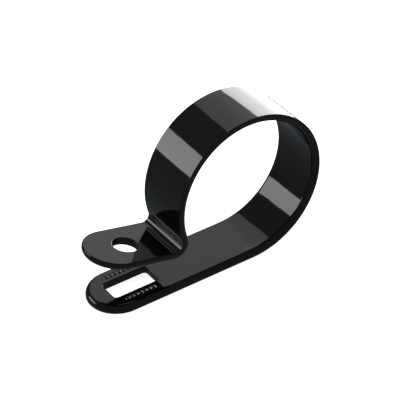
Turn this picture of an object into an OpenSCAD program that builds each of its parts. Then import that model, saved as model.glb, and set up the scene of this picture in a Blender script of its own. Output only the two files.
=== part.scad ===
// P clip: a one-piece moulded plastic clip that holds a cable bundle against a panel.
// The origin is on the underside, at the centre of the slot in the lower strip.
// +X runs along the strip towards the loop, +Y across its width, +Z up.

/* [Bundle loop] */
// Diameter of the round bundle that the loop holds
loop_d = 25; // [22:0.5:30]
// Angle up from +X at which the loop starts to open out towards the tab
loop_open_from = 130; // [110:5:150]
// Angle up from +X at which the opened part turns into the bend
loop_open_to = 195; // [185:1:205]
// How much further out the opened part of the loop is rolled
loop_open_by = 1; // [0:0.1:2]

/* [Band] */
// Width of the band, of the strip and of the tab
band_w = 10.6; // [9:0.1:14]
// Wall thickness, the same everywhere
wall = 1.4; // [1.2:0.1:2]
// Rounding of the two long edges on the loop's inner side
edge_in = 0.9; // [0.3:0.1:0.9]
// Rounding of the two long edges on the loop's outer side
edge_out = 0.25; // [0.1:0.05:0.3]

/* [Lower strip] */
// Distance from the centre of the slot to the centre of the loop
slot_to_loop = 21; // [20:0.5:26]
// Distance from the centre of the slot to the centre of the round end
slot_to_end = 2.5; // [0:0.5:6]
// Length of the slot
slot_l = 8.5; // [5:0.1:9]
// Width of the slot
slot_w = 4.3; // [4.2:0.1:4.6]
// Rounding of the slot's corners
slot_r = 0.6; // [0.3:0.1:1.2]
// Easing of the slot's upper and lower rim
slot_rim = 0.15; // [0.05:0.05:0.3]

/* [Tick ribs] */
// Ribs in each of the two rows beside the slot
rib_count = 7; // [1:1:9]
// Distance from one rib to the next
rib_pitch = 0.84; // [0.7:0.02:1]
// Length of a rib, across the strip
rib_l = 1.3; // [1.2:0.05:1.5]
// Radius of a rib's rounded top
rib_r = 0.5; // [0.3:0.05:0.55]
// Height of a rib above the strip
rib_h = 0.16; // [0.05:0.01:0.2]
// Distance of each row from the middle of the strip
rib_y = 3.4; // [3.2:0.05:3.6]
// Place of the row's middle along the strip, from the centre of the slot
rib_x = -0.1; // [-1:0.1:1]

/* [Upper tab] */
// Length of the flat tab, from the bend to the centre of its round end
tab_run = 8.64; // [7:0.02:12]
// Distance from the centre of the tab's round end to the centre of its hole
hole_from_end = 2.15; // [0:0.05:2.5]
// Diameter of the hole
hole_d = 4.4; // [3:0.1:5]
// Easing of the hole's upper and lower rim
hole_rim = 0.15; // [0.05:0.05:0.3]
// Inner radius of the bend between the loop and the tab
bend_r = 1.15; // [0.6:0.05:2]

/* [Hidden] */
$fn = 96;
// Slope of the tab above the strip, which closes when the clip is screwed down. It is fixed: the bend and
// the tab fuse exactly at this slope.
tab_slope = 12.9;

loop_r = loop_d / 2;
open_r = loop_r + loop_open_by;
// centre of the loop, in X and Z
loop_x = slot_to_loop;
loop_z = wall + loop_r;
// centre of the opened part, which is tangent to the loop where it starts
open_x = loop_x - loop_open_by * cos(loop_open_from);
open_z = loop_z - loop_open_by * sin(loop_open_from);
// the bend's centre lies outside the opened part, seen from that part's centre
bend_reach = open_r + wall + bend_r;
// the opened part, the bend and the tab are drawn in a frame that leans with the tab
open_a = loop_open_from + tab_slope;
open_b = loop_open_to + tab_slope;

// Moves to a point in the XZ plane, in a coarse and a fine step so that no digits are lost.
module place(x, z) {
    cx = round(x * 100) / 100;
    cz = round(z * 100) / 100;
    translate([cx, 0, cz]) translate([x - cx, 0, z - cz]) children();
}

// The band's cross section: across in X, from the inner face at 0 to the outer face at wall in Y.
module band_section() {
    half = band_w / 2;
    difference() {
        union() {
            translate([-(half - edge_out), 0]) square([2 * (half - edge_out), wall]);
            translate([-half, 0]) square([band_w, wall - edge_out]);
            for (s = [-1, 1]) translate([s * (half - edge_out), wall - edge_out]) circle(r = edge_out);
        }
        for (s = [-1, 1]) difference() {
            translate([s * half, 0]) square(2 * edge_in, center = true);
            translate([s * (half - edge_in), edge_in]) circle(r = edge_in);
        }
    }
}

// The half of the section on one side of the middle, which a round end is turned from.
module half_section() {
    intersection() {
        band_section();
        translate([0, -1]) square([band_w, wall + 2]);
    }
}

// A curved length of band about the Y axis, with its inner face on the inside of the curve.
module band_arc(r, from, to) {
    rotate([90, 0, 0])
        rotate_extrude(start = from, angle = to - from)
            translate([r, 0]) rotate(-90) band_section();
}

// The bend to the tab curves the other way, so its outer face is on the inside of the curve.
module bend_arc(r, from, to) {
    rotate([90, 0, 0])
        rotate_extrude(start = from, angle = to - from)
            translate([r + wall, 0]) rotate(90) band_section();
}

// A straight length of band along +X, with its inner face up and its outer face at z = 0.
module band_straight(l) {
    rotate([90, 0, 90])
        linear_extrude(l)
            translate([0, wall]) mirror([0, 1]) band_section();
}

// The round end of a strip whose inner face is up, on the -X side of the Z axis.
module round_end() {
    rotate_extrude(start = 90, angle = 180)
        translate([0, wall]) mirror([0, 1]) half_section();
}

// The eased rim of a rounded rectangular hole: widest at z = 0, running out at z = -c.
module rect_rim(l, w, r, c) {
    e = 0.05;
    for (x = [-1, 1], y = [-1, 1])
        translate([x * (l / 2 - r), y * (w / 2 - r), -c])
            cylinder(h = c + e, r1 = r, r2 = r + c + e);
    rotate([90, 0, 90])
        translate([0, 0, -(l / 2 - r)])
            linear_extrude(l - 2 * r)
                polygon([[-w / 2, -c], [w / 2, -c], [w / 2 + c + e, e], [-w / 2 - c - e, e]]);
    rotate([90, 0, 0])
        translate([0, 0, -(w / 2 - r)])
            linear_extrude(w - 2 * r)
                polygon([[-l / 2, -c], [l / 2, -c], [l / 2 + c + e, e], [-l / 2 - c - e, e]]);
}

module slot_cut() {
    translate([0, 0, -1])
        linear_extrude(wall + 2) {
            square([slot_l - 2 * slot_r, slot_w], center = true);
            square([slot_l, slot_w - 2 * slot_r], center = true);
            for (x = [-1, 1], y = [-1, 1])
                translate([x * (slot_l / 2 - slot_r), y * (slot_w / 2 - slot_r)]) circle(r = slot_r);
        }
    translate([0, 0, wall]) rect_rim(slot_l, slot_w, slot_r, slot_rim);
    mirror([0, 0, 1]) rect_rim(slot_l, slot_w, slot_r, slot_rim);
}

// The tab's hole, in the tab's own frame: z = 0 is its upper face.
module hole_cut() {
    e = 0.05;
    translate([0, 0, -wall - 1]) cylinder(h = wall + 2, d = hole_d);
    translate([0, 0, -hole_rim]) cylinder(h = hole_rim + e, d1 = hole_d, d2 = hole_d + 2 * (hole_rim + e));
    translate([0, 0, -wall - e]) cylinder(h = hole_rim + e, d1 = hole_d + 2 * (hole_rim + e), d2 = hole_d);
}

// One raised tick rib: a short bar with a rounded top and rounded ends, sunk in the strip.
module rib() {
    translate([0, 0, wall - rib_r + rib_h]) {
        rotate([90, 0, 0]) cylinder(h = rib_l - 2 * rib_r, r = rib_r, center = true);
        for (s = [-1, 1]) translate([0, s * (rib_l / 2 - rib_r), 0]) sphere(r = rib_r);
    }
}

// The leaning frame: its origin is the centre of the opened part. It is turned in two steps, so that no digits are lost.
module open_frame() {
    place(open_x, open_z) rotate([0, -16.1024, 0]) rotate([0, tab_slope + 16.1024, 0]) children();
}

// The tab's own frame: its origin is on the upper face, where the bend ends and the flat tab starts.
module tab_frame() {
    open_frame() place(bend_reach * cos(open_b), bend_reach * sin(open_b))
        translate([0, 0, -bend_r]) children();
}

module clip_body() {
    color([0.02, 0.021, 0.023]) {
        difference() {
            union() {
                translate([-slot_to_end, 0, 0]) round_end();
                translate([-slot_to_end, 0, 0]) band_straight(slot_to_end + slot_to_loop);
                place(loop_x, loop_z) band_arc(loop_r, -90, loop_open_from);
                open_frame() band_arc(open_r, open_a, open_b);
                tab_frame() {
                    translate([0, 0, bend_r]) bend_arc(bend_r, -90, open_b - 180);
                    translate([-tab_run, 0, 0]) mirror([0, 0, 1]) band_straight(tab_run);
                    translate([-tab_run, 0, 0]) mirror([0, 0, 1]) round_end();
                }
            }
            slot_cut();
            tab_frame() translate([hole_from_end - tab_run, 0, 0]) hole_cut();
        }
        for (i = [0 : rib_count - 1], s = [-1, 1])
            translate([rib_x + (i - (rib_count - 1) / 2) * rib_pitch, s * rib_y, 0]) rib();
    }
}

clip_body();
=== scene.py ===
import math

import bpy
from mathutils import Matrix, Vector
from mathutils.geometry import tessellate_polygon


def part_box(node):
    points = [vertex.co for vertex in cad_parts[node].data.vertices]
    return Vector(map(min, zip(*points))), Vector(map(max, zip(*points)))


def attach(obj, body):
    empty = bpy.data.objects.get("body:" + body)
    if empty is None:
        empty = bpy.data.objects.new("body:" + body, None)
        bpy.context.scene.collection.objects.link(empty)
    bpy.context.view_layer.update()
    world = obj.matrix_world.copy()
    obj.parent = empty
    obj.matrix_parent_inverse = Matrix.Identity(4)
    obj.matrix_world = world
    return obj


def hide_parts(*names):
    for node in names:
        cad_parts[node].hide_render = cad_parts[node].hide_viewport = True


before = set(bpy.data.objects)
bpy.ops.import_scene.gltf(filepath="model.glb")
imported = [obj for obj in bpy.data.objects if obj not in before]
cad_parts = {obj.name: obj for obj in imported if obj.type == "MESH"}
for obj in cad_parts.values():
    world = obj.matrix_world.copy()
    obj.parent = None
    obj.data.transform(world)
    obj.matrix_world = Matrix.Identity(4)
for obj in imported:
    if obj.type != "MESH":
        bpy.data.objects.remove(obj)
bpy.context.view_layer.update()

MM = 0.001
NODE = "clip_body"

# Sizes in millimetres, the same as in the part's source.
LOOP_R = 12.5
OPEN_FROM, OPEN_TO, OPEN_BY = 130.0, 195.0, 1.0
BAND_W, WALL = 10.6, 1.4
EDGE_IN, EDGE_OUT = 0.9, 0.25
LOOP_X, END_X = 21.0, -2.5
SLOT_L, SLOT_W, SLOT_R, SLOT_RIM = 8.5, 4.3, 0.6, 0.15
RIBS, RIB_PITCH, RIB_L, RIB_R, RIB_H, RIB_Y, RIB_X = 7, 0.84, 1.3, 0.5, 0.16, 3.4, -0.1
SLOPE, TAB_RUN, HOLE_BACK, HOLE_D, HOLE_RIM, BEND_R = 12.9, 8.64, 2.15, 4.4, 0.15, 1.15

HALF = BAND_W / 2
LOOP_C = (LOOP_X, WALL + LOOP_R)
OPEN_R = LOOP_R + OPEN_BY


def polar(r, deg):
    return r * math.cos(math.radians(deg)), r * math.sin(math.radians(deg))


OPEN_C = (LOOP_C[0] - polar(OPEN_BY, OPEN_FROM)[0], LOOP_C[1] - polar(OPEN_BY, OPEN_FROM)[1])
REACH = polar(OPEN_R + WALL + BEND_R, OPEN_TO)
BEND_C = (OPEN_C[0] + REACH[0], OPEN_C[1] + REACH[1])
UP = (math.sin(math.radians(SLOPE)), math.cos(math.radians(SLOPE)))
OUT = (-UP[1], UP[0])
TAB_0 = (BEND_C[0] - BEND_R * UP[0], BEND_C[1] - BEND_R * UP[1])


# ---------------------------------------------------------------- mesh builder
class Shell:
    """Faces with a stated normal at each corner. Points that fall together become one vertex."""

    def __init__(self):
        self.co, self.key, self.faces, self.normals = [], {}, [], []

    def vert(self, p):
        k = (round(p[0] * 2e4), round(p[1] * 2e4), round(p[2] * 2e4))
        if k not in self.key:
            self.key[k] = len(self.co)
            self.co.append(p)
        return self.key[k]

    def face(self, corners):
        ids, ns = [], []
        for p, n in corners:
            i = self.vert(p)
            if i not in ids:
                ids.append(i)
                ns.append(n)
        if len(ids) < 3:
            return
        a, b, c = (Vector(self.co[ids[j]]) for j in (0, 1, 2))
        g = (b - a).cross(c - a)
        if len(ids) == 4:
            g = (c - a).cross(Vector(self.co[ids[3]]) - b)
        if g.length < 1e-12:
            return
        m = Vector((0, 0, 0))
        for n in ns:
            m += Vector(n)
        if g.dot(m) < 0:
            ids.reverse()
            ns.reverse()
        self.faces.append(ids)
        self.normals.append(ns)

    def grid(self, rows):
        for r0, r1 in zip(rows, rows[1:]):
            for a, b, c, d in zip(r0, r0[1:], r1[1:], r1):
                self.face([a, b, c, d])

    def build(self, name):
        me = bpy.data.meshes.new(name)
        me.from_pydata([[x * MM for x in p] for p in self.co], [], self.faces)
        me.update()
        flat = []
        for ids, ns in zip(self.faces, self.normals):
            flat += [Vector(n).normalized() for n in ns]
        me.polygons.foreach_set("use_smooth", [True] * len(me.polygons))
        me.normals_split_custom_set(flat)
        ob = bpy.data.objects.new(name, me)
        bpy.context.scene.collection.objects.link(ob)
        return ob


def section_edge(side, inner):
    """One rounded corner of the band's section, as (w, n, nw, nn), from the flat face out to the side."""
    r = EDGE_IN if inner else EDGE_OUT
    steps = 18 if inner else 10
    out = []
    for i in range(steps + 1):
        t = math.pi / 2 * i / steps
        w = HALF - r + r * math.sin(t)
        n = r - r * math.cos(t)
        out.append((side * w, n if inner else WALL - n, side * math.sin(t), -math.cos(t) if inner else math.cos(t)))
    return out


def section_side(side):
    """From the inner flat's edge, round the side, to the outer flat's edge."""
    return section_edge(side, True) + section_edge(side, False)[::-1]


def arc_rows(profile, centre, r_inner, a0, a1, steps, outward=1):
    """Sweeps a list of section points about the Y axis. outward is -1 where the band's outer face is inside the curve."""
    rows = []
    for i in range(steps + 1):
        a = math.radians(a0 + (a1 - a0) * i / steps)
        c, s = math.cos(a), math.sin(a)
        row = []
        for w, n, nw, nn in profile:
            r = r_inner + outward * n
            k = outward * nn
            row.append(((centre[0] + r * c, w, centre[1] + r * s), (k * c, nw, k * s)))
        rows.append(row)
    return rows


def rounded_rect(l, w, r, steps):
    """Outline points (x, y, ox, oy), with the direction pointing out of the hole into the material."""
    pts = []
    for cx, cy, a0 in ((1, 1, 0), (-1, 1, 90), (-1, -1, 180), (1, -1, 270)):
        for i in range(steps + 1):
            a = math.radians(a0 + 90 * i / steps)
            c, s = math.cos(a), math.sin(a)
            pts.append((cx * (l / 2 - r) + r * c, cy * (w / 2 - r) + r * s, c, s))
    return pts


def circle_outline(r, steps, x0=0.0):
    return [
        (x0 + r * math.cos(2 * math.pi * i / steps), r * math.sin(2 * math.pi * i / steps),
         math.cos(2 * math.pi * i / steps), math.sin(2 * math.pi * i / steps))
        for i in range(steps)
    ]


class Plate:
    """A flat stretch of the band: local u along it, w across, h above its outer... lower face. inner_up says which face is on top."""

    def __init__(self, shell, place, turn, inner_up):
        self.shell, self.place, self.turn, self.inner_up = shell, place, turn, inner_up

    def h(self, n):
        return WALL - n if self.inner_up else n

    def nh(self, nn):
        return -nn if self.inner_up else nn

    def straight(self, profile, u0, u1, steps=1):
        rows = []
        for i in range(steps + 1):
            u = u0 + (u1 - u0) * i / steps
            rows.append([(self.place(u, w, self.h(n)), self.turn(0, nw, self.nh(nn))) for w, n, nw, nn in profile])
        self.shell.grid(rows)

    def end(self, profile, u0, steps=72):
        """The semicircular end, turned from the section on the +w side about the point u0. It bulges to -u."""
        rows = []
        for i in range(steps + 1):
            a = math.pi / 2 + math.pi * i / steps
            c, s = math.cos(a), math.sin(a)
            rows.append([
                (self.place(u0 + w * c, w * s, self.h(n)), self.turn(nw * c, nw * s, self.nh(nn)))
                for w, n, nw, nn in profile
            ])
        self.shell.grid(rows)

    def flat(self, top, half, u_end, u_root, hole, steps=72):
        """The flat face inside the rounded edge, with a hole in it."""
        h = WALL if top else 0.0
        outer = [(u_root, -half), (u_root, half)]
        for i in range(steps + 1):
            a = math.pi / 2 + math.pi * i / steps
            outer.append((u_end + half * math.cos(a), half * math.sin(a)))
        loops = [[Vector((u, w, 0)) for u, w in outer], [Vector((u, w, 0)) for u, w in hole]]
        pts = [p for l in loops for p in l]
        n = self.turn(0, 0, 1 if top else -1)
        for tri in tessellate_polygon(loops):
            self.shell.face([(self.place(pts[i].x, pts[i].y, h), n) for i in tri])

    def hole(self, outline, rim, steps=8):
        rows = []
        closed = outline + outline[:1]
        for i in range(steps + 1):
            t = math.pi / 2 * i / steps
            off, dz = rim * (1 - math.sin(t)), rim * (1 - math.cos(t))
            rows.append([
                (self.place(x + ox * off, y + oy * off, WALL - dz), self.turn(-ox * math.sin(t), -oy * math.sin(t), math.cos(t)))
                for x, y, ox, oy in closed
            ])
        for i in range(steps, -1, -1):
            t = math.pi / 2 * i / steps
            off, dz = rim * (1 - math.sin(t)), rim * (1 - math.cos(t))
            rows.append([
                (self.place(x + ox * off, y + oy * off, dz), self.turn(-ox * math.sin(t), -oy * math.sin(t), -math.cos(t)))
                for x, y, ox, oy in closed
            ])
        self.shell.grid(rows)


def rib(shell, x, y):
    """A short bar with a rounded top and round ends, sunk in the strip."""
    z0 = WALL - RIB_R + RIB_H
    run = RIB_L / 2 - RIB_R
    rows = []
    for i in range(33):
        lat = -math.pi / 2 + math.pi * i / 32
        cy, sy = math.cos(lat), math.sin(lat)
        row = []
        for j in range(49):
            a = 2 * math.pi * j / 48
            nx, nz = cy * math.cos(a), cy * math.sin(a)
            row.append(((x + RIB_R * nx, y + (run if i > 16 else -run) + RIB_R * sy, z0 + RIB_R * nz), (nx, sy, nz)))
        rows.append(row)
        if i == 16:
            rows.append([((p[0], y + run, p[2]), n) for p, n in row])
    shell.grid(rows)


def build_clip():
    sh = Shell()
    right, left = section_side(1), section_side(-1)
    inner_flat = [(-(HALF - EDGE_IN), 0.0, 0.0, -1.0), (HALF - EDGE_IN, 0.0, 0.0, -1.0)]
    outer_flat = [(-(HALF - EDGE_OUT), WALL, 0.0, 1.0), (HALF - EDGE_OUT, WALL, 0.0, 1.0)]

    def wide(flat, n=12):
        (w0, h, a, b), (w1, _, _, _) = flat
        return [(w0 + (w1 - w0) * i / n, h, a, b) for i in range(n + 1)]

    # the curved lengths
    for prof in (right, left, wide(inner_flat, 1), wide(outer_flat, 1)):
        sh.grid(arc_rows(prof, LOOP_C, LOOP_R, -90, OPEN_FROM, 176))
        sh.grid(arc_rows(prof, OPEN_C, OPEN_R, OPEN_FROM, OPEN_TO, 52))
        sh.grid(arc_rows(prof, BEND_C, BEND_R + WALL, OPEN_TO - 180, -90 - SLOPE, 48, -1))

    # the lower strip
    strip = Plate(sh, lambda u, w, h: (u, w, h), lambda a, b, c: (a, b, c), True)
    for prof in (right, left):
        strip.straight(prof, END_X, LOOP_X)
    strip.end(right, END_X)
    slot = rounded_rect(SLOT_L, SLOT_W, SLOT_R, 10)
    grown = [(x + ox * SLOT_RIM, y + oy * SLOT_RIM) for x, y, ox, oy in slot]
    strip.flat(True, HALF - EDGE_IN, END_X, LOOP_X, grown)
    strip.flat(False, HALF - EDGE_OUT, END_X, LOOP_X, grown)
    strip.hole(slot, SLOT_RIM)
    for side in (-1, 1):
        for i in range(RIBS):
            rib(sh, RIB_X + (i - (RIBS - 1) / 2) * RIB_PITCH, side * RIB_Y)

    # the upper tab: u runs from the bend (0) to the free end (negative)
    def tab_place(u, w, h):
        d = h - WALL
        return (TAB_0[0] - u * OUT[0] + d * UP[0], w, TAB_0[1] - u * OUT[1] + d * UP[1])

    def tab_turn(a, b, c):
        return (-a * OUT[0] + c * UP[0], b, -a * OUT[1] + c * UP[1])

    tab = Plate(sh, tab_place, tab_turn, False)
    for prof in (right, left):
        tab.straight(prof, -TAB_RUN, 0)
    tab.end(right, -TAB_RUN)
    hole = circle_outline(HOLE_D / 2, 96, HOLE_BACK - TAB_RUN)
    grown = [(x + ox * HOLE_RIM, y + oy * HOLE_RIM) for x, y, ox, oy in hole]
    tab.flat(True, HALF - EDGE_OUT, -TAB_RUN, 0, grown)
    tab.flat(False, HALF - EDGE_IN, -TAB_RUN, 0, grown)
    tab.hole(hole, HOLE_RIM)
    return sh.build("clip_moulding")


# ---------------------------------------------------------------- materials
def nodes_of(mat):
    mat.use_nodes = True
    nt = mat.node_tree
    for n in list(nt.nodes):
        nt.nodes.remove(n)
    return nt, nt.nodes, nt.links


def nylon():
    mat = bpy.data.materials.new("black_nylon")
    nt, nodes, links = nodes_of(mat)
    out = nodes.new("ShaderNodeOutputMaterial")
    bsdf = nodes.new("ShaderNodeBsdfPrincipled")
    bsdf.inputs["IOR"].default_value = 1.53
    bsdf.inputs["Metallic"].default_value = 0.0
    links.new(bsdf.outputs["BSDF"], out.inputs["Surface"])
    co = nodes.new("ShaderNodeTexCoord")

    # colour: near black, with very faint cloudiness from the pigment
    cloud = nodes.new("ShaderNodeTexNoise")
    cloud.inputs["Scale"].default_value = 260.0
    cloud.inputs["Detail"].default_value = 4.0
    links.new(co.outputs["Object"], cloud.inputs["Vector"])
    ramp = nodes.new("ShaderNodeValToRGB")
    ramp.color_ramp.elements[0].position = 0.3
    ramp.color_ramp.elements[0].color = (0.0014, 0.0016, 0.0019, 1)
    ramp.color_ramp.elements[1].position = 0.7
    ramp.color_ramp.elements[1].color = (0.0028, 0.0030, 0.0034, 1)
    links.new(cloud.outputs["Fac"], ramp.inputs["Fac"])
    links.new(ramp.outputs["Color"], bsdf.inputs["Base Color"])

    # gloss: mould polish varies a little from place to place
    polish = nodes.new("ShaderNodeTexNoise")
    polish.inputs["Scale"].default_value = 420.0
    polish.inputs["Detail"].default_value = 5.0
    polish.inputs["Roughness"].default_value = 0.6
    links.new(co.outputs["Object"], polish.inputs["Vector"])
    rough = nodes.new("ShaderNodeMapRange")
    rough.inputs["To Min"].default_value = 0.035
    rough.inputs["To Max"].default_value = 0.075
    links.new(polish.outputs["Fac"], rough.inputs["Value"])
    links.new(rough.outputs["Result"], bsdf.inputs["Roughness"])

    # relief: a slow swell left by shrinkage, and a fine grain left by the mould
    swell = nodes.new("ShaderNodeTexNoise")
    swell.inputs["Scale"].default_value = 170.0
    swell.inputs["Detail"].default_value = 1.5
    links.new(co.outputs["Object"], swell.inputs["Vector"])
    grain = nodes.new("ShaderNodeTexNoise")
    grain.inputs["Scale"].default_value = 3800.0
    grain.inputs["Detail"].default_value = 3.0
    links.new(co.outputs["Object"], grain.inputs["Vector"])
    b1 = nodes.new("ShaderNodeBump")
    b1.inputs["Strength"].default_value = 1.0
    b1.inputs["Distance"].default_value = 0.000035
    links.new(swell.outputs["Fac"], b1.inputs["Height"])
    b2 = nodes.new("ShaderNodeBump")
    b2.inputs["Strength"].default_value = 1.0
    b2.inputs["Distance"].default_value = 0.0000005
    links.new(grain.outputs["Fac"], b2.inputs["Height"])
    links.new(b1.outputs["Normal"], b2.inputs["Normal"])
    links.new(b2.outputs["Normal"], bsdf.inputs["Normal"])
    return mat


def floor_material():
    mat = bpy.data.materials.new("pale_floor")
    nt, nodes, links = nodes_of(mat)
    out = nodes.new("ShaderNodeOutputMaterial")
    bsdf = nodes.new("ShaderNodeBsdfPrincipled")
    bsdf.inputs["Base Color"].default_value = (0.86, 0.86, 0.86, 1)
    bsdf.inputs["Roughness"].default_value = 0.9
    bsdf.inputs["Specular IOR Level"].default_value = 0.0
    bsdf.inputs["Emission Color"].default_value = (1.0, 1.0, 1.0, 1)
    bsdf.inputs["Emission Strength"].default_value = 0.86
    links.new(bsdf.outputs["BSDF"], out.inputs["Surface"])
    return mat


clip = build_clip()
clip.data.materials.append(nylon())
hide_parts(NODE)
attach(clip, "root")

# ---------------------------------------------------------------- floor
me = bpy.data.meshes.new("floor")
S = 3.0
me.from_pydata([(-S, -S, 0), (S, -S, 0), (S, S, 0), (-S, S, 0)], [], [(0, 1, 2, 3)])
floor = bpy.data.objects.new("floor", me)
floor.location = (0, 0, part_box(NODE)[0].z - 0.00002)
bpy.context.scene.collection.objects.link(floor)
me.materials.append(floor_material())
floor.visible_glossy = False

# ---------------------------------------------------------------- studio
# A dim even surround and three plain softboxes, each of one brightness all over.
world = bpy.data.worlds.new("studio")
bpy.context.scene.world = world
world.use_nodes = True
w_bg = next(n for n in world.node_tree.nodes if n.type == "BACKGROUND")
w_bg.inputs["Color"].default_value = (0.82, 0.92, 1.0, 1)
w_bg.inputs["Strength"].default_value = 0.15
CENTRE = Vector((LOOP_X * MM, 0, (WALL + LOOP_R) * MM))


def softbox(name, azimuth, elevation, dist, width, height, radiance):
    """A rectangular light that faces the loop. Angles in degrees, lengths in mm."""
    light = bpy.data.lights.new(name, "AREA")
    light.shape = "RECTANGLE"
    light.size, light.size_y = width * MM, height * MM
    light.energy = math.pi * light.size * light.size_y * radiance
    az, el = math.radians(azimuth), math.radians(elevation)
    out = Vector((math.cos(az) * math.cos(el), math.sin(az) * math.cos(el), math.sin(el)))
    ob = bpy.data.objects.new(name, light)
    ob.location = CENTRE + out * dist * MM
    ob.rotation_euler = out.to_track_quat("Z", "Y").to_euler()
    ob.visible_camera = False
    bpy.context.scene.collection.objects.link(ob)


softbox("rear_box", 36.5, 10, 82, 44, 76, 5.0)
softbox("side_box", 138, 22, 300, 170, 110, 3.5)
softbox("back_fill", 52, 38, 300, 260, 220, 0.7)

# an overhead sheet of light for the floor that the clip's gloss doesn't show
sun = bpy.data.lights.new("overhead", "AREA")
sun.shape = "DISK"
sun.size = 0.9
sun.energy = 3.0
sun_ob = bpy.data.objects.new("overhead", sun)
sun_ob.location = (0.0, 0.0, 0.9)
sun_ob.visible_glossy = False
bpy.context.scene.collection.objects.link(sun_ob)

# ---------------------------------------------------------------- camera
AZ, EL, ROLL = -32.790, 36.227, -2.152
DIST, PX_PER_MM, CU, CV = 332.1, 6.055, 233.649, 175.634
a, e, r = (math.radians(v) for v in (AZ, EL, ROLL))
back = Vector((math.sin(a) * math.cos(e), -math.cos(a) * math.cos(e), math.sin(e)))
right = Vector((math.cos(a), math.sin(a), 0))
up = back.cross(right)
r2 = math.cos(r) * right + math.sin(r) * up
u2 = -math.sin(r) * right + math.cos(r) * up
lo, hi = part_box(NODE)
target = Vector((LOOP_X * MM, (lo.y + hi.y) / 2, hi.z - (LOOP_R + WALL) * MM))
eye = target + back * DIST * MM - r2 * ((CU - 200) / PX_PER_MM * MM) - u2 * ((200 - CV) / PX_PER_MM * MM)
cam_data = bpy.data.cameras.new("camera")
cam_data.sensor_width = 36.0
cam_data.lens = PX_PER_MM * DIST * 36.0 / 400.0
cam_data.clip_start = 0.01
cam_data.clip_end = 20.0
cam = bpy.data.objects.new("camera", cam_data)
m = Matrix.Identity(4)
for i in range(3):
    m[i][0], m[i][1], m[i][2], m[i][3] = r2[i], u2[i], back[i], eye[i]
cam.matrix_world = m
bpy.context.scene.collection.objects.link(cam)
bpy.context.scene.camera = cam
bpy.context.scene.view_settings.view_transform = "Standard"
bpy.context.scene.view_settings.look = "None"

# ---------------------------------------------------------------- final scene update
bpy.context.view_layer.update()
